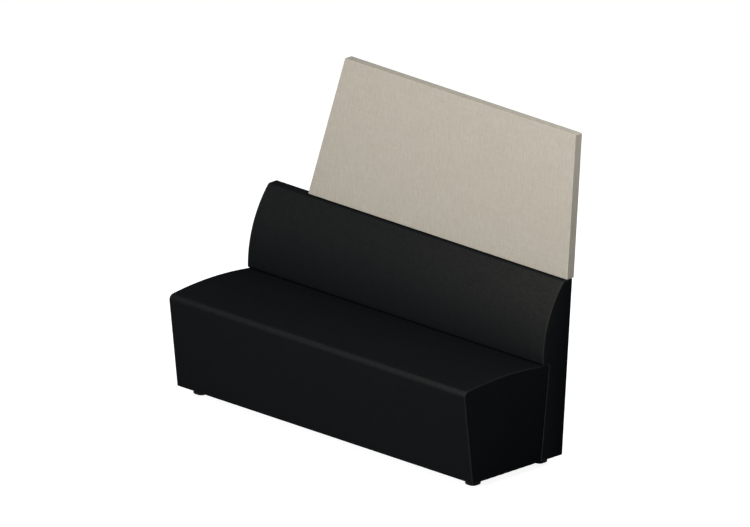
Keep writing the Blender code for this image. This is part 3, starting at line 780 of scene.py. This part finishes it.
def end_cover(unit, label, side, section, painted_light):
    """A flat end panel, sewn round its border and turned under at the bottom."""
    sewn = [(END_X - inset, back) for back, inset in sewn_edge(EDGE, SEAM_STEPS)]
    across = sewn[::-1] + [(END_X, EDGE + gap) for gap in FACE_RINGS]

    def drawn_in(away):
        return END_SWELL * np.exp(-away / SWELL_REACH)

    def face(flat, away):
        return np.column_stack([END_X - drawn_in(FACE_RINGS[-1] + away), flat])

    rings = []
    for x, inset in across:
        line = section(inset, inset)
        loop = chain(line, run(line[-1], line[0], UNDER_STEPS))[:-1]
        rings.append(np.insert(loop, 0, x - drawn_in(max(inset - EDGE, 0.0)), 1))

    points, faces, away = capped(rings, [(-1, face)], PANEL_STEP, [1, 2])
    points = points * (side, 1, 1)
    made = add_mesh(f"{unit}_end_{label}", points, faces, BLACK_FABRIC, f"{unit}_cover_end_{label}")
    along = distances(across)
    past = np.abs(along - along[1])
    # how far each point lies from the seam, for its painted highlight
    seam_away = np.concatenate([np.repeat(past[:-1], len(rings[0])), past[-1] + away])
    # painted light and shade over the panel, and a painted highlight along its seam
    panel, seam = painted_light(points[:, 1], points[:, 2])
    cloth = np.insert(points[:, 1:], 2, END_LAYER * side, 1)
    mark(made, cloth=cloth, wear=panel + seam * near(seam_away, END_SEAM_REACH))
    thicken(made)


wrap_cover("seat", seat_section, seat_front, seat_rear, seat_wear)
wrap_cover("back", back_section, back_front, back_rear, back_wear)
for label, side in SIDES.items():
    end_cover("seat", label, side, seat_section, seat_end_wear)
    end_cover("back", label, side, back_section, back_end_wear)

# Foam

FOAM_EDGE, PAD_EDGE, PAD_CORNER = 0.005, 0.003, 0.004  # roundings
FOAM_STEP, FOAM_ROWS, FOAM_TURN = 0.03, 13, 4  # size of an end's faces, rows in half, rows in a rounding
DECK_STEPS, PAD_STEPS = 16, (2, 18, 2, 18)
SUPPORT_STEPS = (2, 24, 6)  # along the back foam's top, rear and underside


def foam_block(name, ring, edge, replaced):
    """Foam drawn out along X with rounded ends. ring(inset) is its closed section."""
    half = END_X - SKIN
    right = [(x, 0.0) for x in np.linspace(0.0, half - edge, FOAM_ROWS)]
    right += [(half - back, inset) for back, inset in turned_edge(edge, 90, FOAM_TURN)[1:]]
    rings = [np.insert(ring(inset), 0, x, 1) for x, inset in mirrored(right)]
    points, faces, _ = capped(rings, [(0, level(0, -half)), (-1, level(0, half))], FOAM_STEP, [1, 2])
    add_mesh(name, points, faces, FOAM, replaced)


def seat_foam_ring(inset):
    line = seat_section(SKIN + inset, DECK_TOP + CLEARANCE + inset, tuck=1.0)
    return chain(line, run(line[-1], line[0], DECK_STEPS))[:-1]


def front_pad_ring(inset):
    low, high = BASE_Z + inset, DECK_TOP - inset
    front, rear = SKIN + inset, SKIN + FRONT_PAD - inset
    places = ((low, front), (low, rear), (high, rear), (high, front))
    return rounded([(seat_front(z, i), z) for z, i in places], PAD_CORNER - inset, PAD_STEPS)


def back_foam_ring(inset):
    """The bulge's foam, flat on the board behind it."""
    line = bulge_section(SKIN + inset, tuck=1.0, sink=0.0)
    top, foot = ((back_rear(z, SUPPORT_INSET + CLEARANCE), z) for z in (line[-1][1], line[0][1]))
    corners = (line[-1], top, foot, line[0])
    sides = [run(a, b, steps) for a, b, steps in zip(corners, corners[1:], SUPPORT_STEPS)]
    return chain(line, *sides)[:-1]


foam_block("seat_foam_block", seat_foam_ring, FOAM_EDGE, "seat_foam")
foam_block("seat_front_padding", front_pad_ring, PAD_EDGE, "seat_front_pad")
foam_block("back_foam_block", back_foam_ring, FOAM_EDGE, "back_foam")

# Screen

SCREEN_EDGE, SCREEN_PAD_EDGE = 0.0015, 0.0015  # roundings of its covers and pads
SCREEN_CORNER, LEAST_CORNER = 0.0045, 0.001
SCREEN_SWELL = 0.0005
SCREEN_STEPS = (60, 26, 54, 26)  # along its lower, right, upper and left edges
SCREEN_STEP, SCREEN_PAD_STEP = 0.03, 0.06  # sizes of the covers' and pads' faces
EDGE_ROWS = 5  # rows of points across its edge
SCREEN_SEAM, SCREEN_SEAM_REACH = 0.4, 0.002  # painted highlight round its faces, and how far it reaches
SCREEN_LAYERS = {"front": 5.3, "rear": 7.9}  # third cloth coordinates


def screen_loop(inset):
    """Closed outline of the screen in X and Z, moved in by inset."""
    low, high = SCREEN_BOTTOM + inset, SCREEN_TOP - inset
    slope, shift = tan(SCREEN_RAKE), inset / cos(SCREEN_RAKE)
    left = [SCREEN_LEFT + (z - SCREEN_BOTTOM) * slope + shift for z in (low, high)]
    right = END_X - inset
    corners = [(left[0], low), (right, low), (right, high), (left[1], high)]
    return rounded(corners, max(SCREEN_CORNER - inset, LEAST_CORNER), SCREEN_STEPS)


def stood(loop, depth):
    """Points of X and Z put at a depth behind the screen's leaning front."""
    x, z = loop.T
    return np.column_stack([x, screen_front(z) + depth, z])


def screen_cover(label, rings, face_depth, swell):
    """A cloth over one face of the screen. rings are (inset, depth) from its sewn edge to the face."""

    def depth_at(away):
        return face_depth + swell * (1 - np.exp(-away / SWELL_REACH))

    def face(flat, away):
        return stood(flat, depth_at(FACE_RINGS[-1] + away))

    rings = rings + [(rings[-1][0] + gap, depth_at(gap)) for gap in FACE_RINGS]
    loops = [stood(screen_loop(inset), depth) for inset, depth in rings]
    points, faces, away = capped(loops, [(-1, face)], SCREEN_STEP, [0, 2])
    made = add_mesh("screen_fabric_" + label, points, faces, BEIGE_FABRIC, "screen_cover_" + label)
    past = distances(rings[::-1])[::-1]
    cloth = [screen_loop(rings[-1][0] - p) for p in past[:-1]] + [points[-len(away):][:, [0, 2]]]
    cloth = np.insert(np.concatenate(cloth), 2, SCREEN_LAYERS[label], 1)
    border = np.concatenate([np.repeat(past[:-1], len(loops[0])), -away]) - FACE_RINGS[-1]
    # painted highlight along the cover's sewn border
    mark(made, cloth=cloth, wear=SCREEN_SEAM * near(border, SCREEN_SEAM_REACH))
    thicken(made)
    reach = screen_loop(rings[-1][0] - past[0])


def screen_padding(label, front, rear):
    """A thin pad with rounded edges between two depths."""
    edge = turned_edge(SCREEN_PAD_EDGE, 90, 3)
    rings = [stood(screen_loop(SKIN + inset), front + back) for back, inset in edge[::-1]]
    rings += [stood(screen_loop(SKIN + inset), rear - back) for back, inset in edge]
    ends = [(i, lambda flat, _, depth=depth: stood(flat, depth)) for i, depth in ((-1, rear), (0, front))]
    points, faces, _ = capped(rings, ends, SCREEN_PAD_STEP, [0, 2])
    add_mesh("screen_padding_" + label, points, faces, FOAM, "screen_pad_" + label)


seam = sewn_edge(SCREEN_EDGE, 3)[::-1]
flat_edge = np.linspace(SCREEN_THICKNESS - SCREEN_EDGE, SCREEN_EDGE, EDGE_ROWS)[1:-1]
front_rings = [(inset, SCREEN_THICKNESS - back) for back, inset in seam] + [(0.0, d) for d in flat_edge]
rear_rings = [(back, SCREEN_THICKNESS - inset) for back, inset in seam]
screen_cover("front", front_rings + turned_edge(SCREEN_EDGE, 90, 6)[::-1], 0.0, -SCREEN_SWELL)
screen_cover("rear", rear_rings, SCREEN_THICKNESS, SCREEN_SWELL)
screen_padding("front", SKIN, SKIN + SCREEN_PAD)
screen_padding("rear", SCREEN_THICKNESS - SKIN - SCREEN_PAD, SCREEN_THICKNESS - SKIN)

# Feet

FOOT_TOP, FOOT_LOW, FOOT_RADIUS, FOOT_DRAFT = -0.0003, -0.0317, 0.035, 0.0005
TOP_EDGE, LOW_EDGE = 0.0015, 0.002  # roundings
STUD_BORE, PIN_BORE, EASE = 0.0043, 0.0028, 0.0006
SCRIBE_RADIUS = 0.0276  # of a groove in the top
RECESS_RADIUS, RECESS_WIDTH, RECESS_DEPTH = 0.025, 0.002, 0.0008  # of a groove in the underside
GLIDE_LOW, GLIDE_TOP, GLIDE_RADIUS = -0.038, -0.032, 0.021
GLIDE_LOW_EDGE, GLIDE_TOP_EDGE = 0.0012, 0.0008
DISH_DEPTH, DISH_FLOOR, DISH_RADIUS = 0.0004, 0.006, 0.0075  # of a hollow under the glide
PIN_TOP, PIN_RADIUS, PIN_EASE, PIN_TIP = -0.024, 0.0025, 0.0007, 0.0008
STUD_LOW, STUD_HIGH, STUD_RADIUS, STUD_PITCH, STUD_TIP = -0.019, 0.0292, 0.004, 0.00125, 0.0004
FOOT_RUB, GLIDE_RUB, RUBBED_WALL = 0.003, 0.001, 0.006  # how far up each is rubbed, and a foot inwards


def bend(centre, radius, start, end, steps=5):
    """A rounded corner of a turned profile, with angles in degrees."""
    return [tuple(p) for p in arc(centre, radius, radians(start), radians(end), steps)]


def foot_profile():
    """Round moulded foot with a groove above and below, hollow round its pin and stud."""
    profile = [(STUD_BORE, STUD_LOW - CLEARANCE), (STUD_BORE, FOOT_TOP - EASE)]
    profile.append((STUD_BORE + EASE, FOOT_TOP))
    for across, depth in ((-EASE, 0.0), (0.0, EASE), (EASE, 0.0)):
        profile.append((SCRIBE_RADIUS + across, FOOT_TOP - depth))
    profile += bend((FOOT_RADIUS - TOP_EDGE, FOOT_TOP - TOP_EDGE), TOP_EDGE, 90, -1)
    profile += bend((FOOT_RADIUS - FOOT_DRAFT - LOW_EDGE, FOOT_LOW + LOW_EDGE), LOW_EDGE, -1, -90, 8)
    for across, depth in ((0.5, 0.0), (0.25, RECESS_DEPTH), (-0.25, RECESS_DEPTH), (-0.5, 0.0)):
        profile.append((RECESS_RADIUS + across * RECESS_WIDTH, FOOT_LOW + depth))
    profile += [(PIN_BORE + EASE, FOOT_LOW), (PIN_BORE, FOOT_LOW + EASE), (PIN_BORE, PIN_TOP + CLEARANCE)]
    return profile[::-1]


def glide_profile():
    """Round disc with a hollow underneath and a pin on top."""
    profile = [(DISH_FLOOR, GLIDE_LOW + DISH_DEPTH), (DISH_RADIUS, GLIDE_LOW)]
    profile += bend((GLIDE_RADIUS - GLIDE_LOW_EDGE, GLIDE_LOW + GLIDE_LOW_EDGE), GLIDE_LOW_EDGE, -90, 0)
    profile += bend((GLIDE_RADIUS - GLIDE_TOP_EDGE, GLIDE_TOP - GLIDE_TOP_EDGE), GLIDE_TOP_EDGE, 0, 90)
    profile += [(PIN_RADIUS + PIN_EASE, GLIDE_TOP), (PIN_RADIUS, GLIDE_TOP + PIN_EASE)]
    return profile + [(PIN_RADIUS, PIN_TOP - PIN_TIP), (PIN_RADIUS - PIN_EASE, PIN_TOP)]


def thread(radius, pitch, low, high, segments=20):
    """A threaded rod: one helical ridge, rooted in a core with two plain tips."""
    depth = 0.6 * pitch
    core = radius - depth
    steps = int((high - low - 2 * pitch) / pitch * segments)
    root, foot, crest = 1.1 * depth, 0.4995, 0.11988
    shape = ((-foot, root), (-crest, 0.0), (crest, 0.0), (foot, root))
    points = []
    for s in range(steps + 1):
        angle = 2 * pi * s / segments
        z = low + pitch + s * pitch / segments
        fade = max(0.1, min(1.0, s / segments, (steps - s) / segments))
        for along, cut in shape:
            r = core + (depth - cut) * fade
            points.append((r * cos(angle), r * sin(angle), z + along * pitch))
    faces = strip_faces(steps + 1, len(shape), closed=True)
    last = len(points) - len(shape)
    faces += [tuple(range(len(shape))), tuple(range(last, len(points)))]
    tip = core - STUD_TIP
    profile = [(tip, low), (core, low + STUD_TIP), (core, high - STUD_TIP), (tip, high)]
    rod, wall = lathe(profile, segments)
    faces += [tuple(i + len(points) for i in f) for f in wall]
    return np.concatenate([points, rod]), faces


for label, (x, y) in FEET.items():
    spot = np.array((x, y, 0.0))
    body = "foot_" + label
    points, faces = lathe(foot_profile(), 96)
    outer = np.hypot(points[:, 0], points[:, 1]) > FOOT_RADIUS - RUBBED_WALL
    foot = add_mesh("foot_body_" + label, points + spot, faces, BLACK_PLASTIC, body, body, sharp=50)
    mark(foot, wear=np.where(outer, near(points[:, 2] - FOOT_LOW, FOOT_RUB), 0.0))

    points, faces = lathe(glide_profile(), 72)
    name, replaced, glide_body = (part + label for part in ("foot_pad_", "foot_glide_", "glide_"))
    glide = add_mesh(name, points + spot, faces, NYLON, replaced, glide_body, sharp=50)
    mark(glide, wear=near(points[:, 2] - GLIDE_LOW, GLIDE_RUB))

    points, faces = thread(STUD_RADIUS, STUD_PITCH, STUD_LOW, STUD_HIGH)
    add_mesh("foot_screw_" + label, points + spot, faces, ZINC, "foot_stud_" + label, body, sharp=35)

# Module links

STRAP_TOP, STRAP_UNDER, STRAP_EASE, STRAP_RADIUS = -0.0003, -0.0033, 0.0005, 0.015
STRAP_END, STRAP_HOLE, STRAP_STEP = 24, 32, 0.006  # stretches round an end and a hole, size of its faces
SHANK_RADIUS, SHANK_TOP = 0.005, 0.0213
HEAD_TOP, HEAD_RIM, HEAD_EDGE = -0.0036, 0.0082, 0.0006
DOME_RADIUS, DOME_CENTRE = 0.00425, 0.0046
SOCKET_LOW, SOCKET_HALF, SOCKET_EASE = -0.0076, 0.003, 0.0003
SOCKET_DEPTH, SOCKET_POINT = 0.0026, 0.0032


def strap(reach):
    """Flat steel with round ends, two holes and eased edges: points and faces about its pivot."""
    levels = [(STRAP_TOP, STRAP_EASE), (STRAP_TOP - STRAP_EASE, 0.0)]
    levels += [(STRAP_UNDER + STRAP_EASE, 0.0), (STRAP_UNDER, STRAP_EASE)]
    rings = []
    for z, inset in levels:
        r = STRAP_RADIUS - inset
        outer = [arc((0, 0), r, pi, 2 * pi, STRAP_END), arc((0, reach), r, 0, pi, STRAP_END)]
        holes = [circle((0, y), GANG_HOLE + inset, STRAP_HOLE) for y in (0.0, reach)]
        rings.append(np.insert(np.concatenate(outer + holes), 2, z, 1))
    ends = [(0, level(2, STRAP_TOP)), (-1, level(2, STRAP_UNDER))]
    counts = [2 * (STRAP_END + 1), STRAP_HOLE, STRAP_HOLE]
    points, faces, _ = capped(rings, ends, STRAP_STEP, [0, 1], counts)
    return points, faces


def bolt(segments=48):
    """Button head with a hexagon socket, and its shank."""
    rim_z = HEAD_TOP - HEAD_EDGE
    angles = np.linspace(0, 2 * pi, segments, endpoint=False)
    flats = SOCKET_HALF / np.cos((angles + pi / 6) % (pi / 3) - pi / 6)
    profile = [(SHANK_RADIUS, SHANK_TOP), (SHANK_RADIUS, HEAD_TOP)]
    profile += bend((HEAD_RIM, rim_z), HEAD_EDGE, 90, 0, 3)
    profile += bend((DOME_CENTRE, rim_z), DOME_RADIUS, -10, -52, 6)
    profile += [(flats + SOCKET_EASE, SOCKET_LOW), (flats, SOCKET_LOW + SOCKET_EASE)]
    profile.append((flats, SOCKET_LOW + SOCKET_DEPTH))
    return lathe(profile, segments, point=SOCKET_LOW + SOCKET_POINT)


for label, side in SIDES.items():
    spot = np.array((side * GANG_X, GANG_Y, 0.0))
    points, faces = strap(GANG_SPACING)
    name, replaced, body = (part + label for part in ("link_strap_", "gang_plate_", "link_"))
    add_mesh(name, points + spot, faces, BLACK_STEEL, replaced, body, sharp=30)
    points, faces = bolt()
    add_mesh("link_bolt_" + label, points + spot, faces, ZINC, "gang_bolt_" + label, sharp=35)

# Dust covers and their staples

STAPLE_PITCH, STAPLE_INSET = 0.045, 0.0055  # between staples, and from them to the cloth's edge
STAPLE_SLANT = 0.07  # spread of their angles, in radians
STAPLE_DROP = 0.0002  # how far the wire stands off the cloth
LONG_ROOM, SHORT_ROOM, LINK_ROOM = 0.020, 0.030, 0.105  # free of staples at a row's ends and round a link
SHORT_SPARE = 0.050  # what a short row's length leaves out when its staples are counted
DUST_EDGE, DUST_SIDE = 0.006, 0.0012  # from the front and rear of the frame, and from its ends
DUST_SAG, DUST_THICKNESS, DUST_CORNER, DUST_HOLE = 0.004, 0.00025, 0.008, 0.0062
DUST_STEP, BORDER_STEP, LEAST_STEPS = 0.016, 0.006, 8
HANG_HALF, HANG_EASE = 0.765, 0.25  # half the length that hangs free, and over what it comes to hang
SCALLOP = 0.0007  # half of how far a side draws in between staples
ON_SIDE = 0.97  # share of the half size past which a point lies on a side
SEAT_SPAN, BACK_SPAN = (0.033, 0.399), (0.437, 0.545)  # from rail to rail


def scalloped(low, high):
    """A closed ring whose sides draw in a little between the staples."""
    corners = [low, (high[0], low[1]), high, (low[0], high[1])]
    spans = [*(high - low)] * 2
    ring = rounded(corners, DUST_CORNER, [max(int(s / BORDER_STEP), LEAST_STEPS) for s in spans])
    toward = (2 * ring - low - high) / (high - low)
    drawn = SCALLOP * (1 - np.cos(2 * pi * ring[:, ::-1] / STAPLE_PITCH))
    return ring - np.sign(toward) * np.where(np.abs(toward) > ON_SIDE, drawn, 0.0)


def staples(name, spots):
    """Flat wire staples, each (x, y, angle), as one piece."""
    section = [(-0.0006, 0), (-0.0004, -0.0004), (0.0004, -0.0004), (0.0006, 0)]
    bars = [(-0.0055, 0.0006), (-0.0053, -0.0001), (-0.0044, -0.00015), (0.0, -0.0002)]
    bars += [(-x, z) for x, z in bars[-2::-1]]
    points, faces = [], []
    for x, y, angle in spots:
        first = len(points)
        c, s = cos(angle), sin(angle)
        for along, z in bars:
            for across, rise in section:
                place = (x + along * c - across * s, y + along * s + across * c)
                points.append((*place, z + rise - STAPLE_DROP))
        faces += strip_faces(len(bars), len(section), closed=True, start=first)
        for end in (first, len(points) - len(section)):
            faces.append(tuple(range(end, end + len(section))))
    return add_mesh(name, points, faces, ZINC)


def staple_spots(front, rear, links):
    """Rows of staples along the sides of a dust cover, clear of its links."""
    random = np.random.default_rng(11)
    inset = DUST_EDGE + STAPLE_INSET
    most = int(END_X / STAPLE_PITCH)
    spots = []
    for y in (front + inset, rear - inset):
        for x in np.arange(-most, most + 1) * STAPLE_PITCH:
            if abs(x) < END_X - LONG_ROOM:
                spots.append((x, y, random.normal(0, STAPLE_SLANT)))
    count = int((rear - front - SHORT_SPARE) / STAPLE_PITCH)
    for x in (inset - END_X, END_X - inset):
        for y in np.linspace(front + SHORT_ROOM, rear - SHORT_ROOM, count):
            if all(hypot(abs(x) - GANG_X, y - link_y) > LINK_ROOM for _, link_y in links):
                spots.append((x, y, pi / 2 + random.normal(0, STAPLE_SLANT)))
    return spots


def dust_cover(unit, front, rear, span, foot_row, links=()):
    """Cloth stapled under a unit, which sags between the rails that span gives."""
    low = np.array((DUST_SIDE - END_X, front + DUST_EDGE))
    high = np.array((END_X - DUST_SIDE, rear - DUST_EDGE))
    feet = [FEET[f"{foot_row}_{label}"] for label in SIDES]
    holes = [circle(spot, DUST_HOLE, 24) for spot in [*feet, *links]]
    flat, faces, _ = filled(scalloped(low, high), DUST_STEP, holes)
    x, y = flat.T
    hang = np.clip((HANG_HALF - np.abs(x)) / HANG_EASE, 0, 1)
    across = np.clip((y - span[0]) / (span[1] - span[0]), 0, 1)
    sag = DUST_SAG * (1 - (1 - hang) ** 2) * 4 * across * (1 - across)
    points = np.column_stack([flat, -sag])
    made = add_mesh(f"{unit}_dust_cloth", points, faces, DUST_FABRIC, f"{unit}_dust_cover")
    if sum(p.normal.z for p in made.data.polygons) < 0:
        made.data.flip_normals()
    thicken(made, DUST_THICKNESS)
    tacks = staples(f"{unit}_staples", staple_spots(front, rear, links))


gang_bolts = [(side * GANG_X, GANG_Y) for side in SIDES.values()]
dust_cover("seat", seat_front(0), seat_rear(0), SEAT_SPAN, "front", gang_bolts)
dust_cover("back", back_front(0), back_rear(0), BACK_SPAN, "rear")

# Frame pieces that keep their CAD shape

THICKNESS_AXIS = {"end_board": "X", "rib": "X", "deck": "Z", "rail": "Z", "bottom": "Z", "shelf": "Z"}
for name, node in frame["nodes"].items():
    if node.hide_render:
        continue
    entry = next(s for s in frame["record"]["subparts"] if s["node"] == name)
    finish = ZINC
    if entry["material_slot"] == "plywood":
        finish = PLY[next((axis for part, axis in THICKNESS_AXIS.items() if part in name), "Y")]
    node.data.materials.clear()
    node.data.materials.append(finish.material)

# Camera

IMAGE_WIDTH = 750
PIXELS_PER_METRE = 228.514
CORNER_PIXELS = (97.9, 220.81)  # right and down from the photograph's middle to the near lower corner
VIEW_TURN, VIEW_RISE = radians(45.0), radians(19.471)
CAMERA_DISTANCE, CLIP_END = 8.0, 50.0
turned = Euler((pi / 2 - VIEW_RISE, 0, VIEW_TURN))
view_right, view_up, view_back = turned.to_matrix().transposed()
near_corner = Vector((END_X, 0, 0)) + Vector(BODY)
corner_right, corner_down = (pixels / PIXELS_PER_METRE for pixels in CORNER_PIXELS)
aim = near_corner - view_right * corner_right + view_up * corner_down
lens = bpy.data.cameras.new("camera")
lens.type = "ORTHO"
lens.ortho_scale = IMAGE_WIDTH / PIXELS_PER_METRE
lens.clip_end = CLIP_END
camera = bpy.data.objects.new("camera", lens)
camera.location = aim + view_back * CAMERA_DISTANCE
camera.rotation_euler = turned
bpy.context.scene.collection.objects.link(camera)
bpy.context.scene.camera = camera

# Lights and stage

MIDDLE = (0.1, 0.0, 0.6)
AMBIENT, SKY_TINT, WHITE = 0.12, (0.92, 1.0, 1.08, 1.0), (1, 1, 1, 1)
FLOOR_GLOW, FLOOR_GREY, FLOOR_REACH = 0.92, (0.55, 0.55, 0.55, 1), 30


def softbox(name, place, target, size, power):
    light = bpy.data.lights.new(name, "AREA")
    light.shape = "RECTANGLE"
    light.size, light.size_y = size
    light.energy = power
    made = bpy.data.objects.new(name, light)
    made.location = place
    made.rotation_euler = (Vector(place) - Vector(target)).to_track_quat("Z", "Y").to_euler()
    bpy.context.scene.collection.objects.link(made)


softbox("fill", (0.0, -3.6, 0.9), MIDDLE, size=(3.0, 1.5), power=56)
softbox("key", (0.8, -1.8, 3.0), MIDDLE, size=(1.2, 1.2), power=19.5)
softbox("right_key", (1.6, -1.4, 2.6), MIDDLE, size=(1.2, 1.2), power=13)
softbox("left_key", (-0.85, -1.15, 2.2), MIDDLE, size=(1.1, 1.1), power=7)
softbox("rim", (2.1, 0.0, 2.2), (0.9, 0.3, 1.3), size=(0.6, 0.6), power=8)
softbox("rear", (0.4, 3.0, 3.0), (0.0, 0.2, 0.9), size=(2.4, 1.5), power=65)
softbox("left_rim", (-2.1, 0.0, 1.8), (-0.9, 0.3, 0.8), size=(0.6, 0.6), power=4)


def cleared(owner):
    """The emptied node tree of a world or a material."""
    owner.use_nodes = True
    owner.node_tree.nodes.clear()
    return Nodes(owner.node_tree)


def seen_directly(made):
    """One for what the camera sees straight, in gloss or through glass, and nought for other light."""
    kinds = ("Camera", "Glossy", "Transmission")
    straight, gloss, glass = (made.node("LightPath", output=f"Is {kind} Ray") for kind in kinds)
    return made.math("MAXIMUM", made.math("MAXIMUM", straight, gloss), glass)


def white_sky():
    """White where it is seen, and a faint cool light elsewhere."""
    world = bpy.data.worlds.new("studio")
    made = cleared(world)
    ambient = made.node("Background", Color=SKY_TINT, Strength=AMBIENT)
    backdrop = made.node("Background", Color=WHITE)
    made.node("OutputWorld", Surface=made.node("MixShader", seen_directly(made), ambient, backdrop))
    return world


def floor_paper():
    """Matt pale paper, lifted to white where it is seen, which still takes a shadow."""
    paper = bpy.data.materials.new("floor_paper")
    made = cleared(paper)
    matt = made.node("BsdfDiffuse", Color=FLOOR_GREY)
    glow = made.node("Emission", Strength=made.times(seen_directly(made), FLOOR_GLOW))
    made.node("OutputMaterial", Surface=made.node("AddShader", matt, glow))
    return paper


bpy.context.scene.world = white_sky()
floor_corners = [(x * FLOOR_REACH, y * FLOOR_REACH, 0) for x, y in ((-1, -1), (1, -1), (1, 1), (-1, 1))]
floor_mesh = bpy.data.meshes.new("floor")
floor_mesh.from_pydata(floor_corners, [], [(0, 1, 2, 3)])
floor_mesh.materials.append(floor_paper())
floor = bpy.data.objects.new("floor", floor_mesh)
bpy.context.scene.collection.objects.link(floor)

bpy.context.scene.view_settings.view_transform = "Standard"
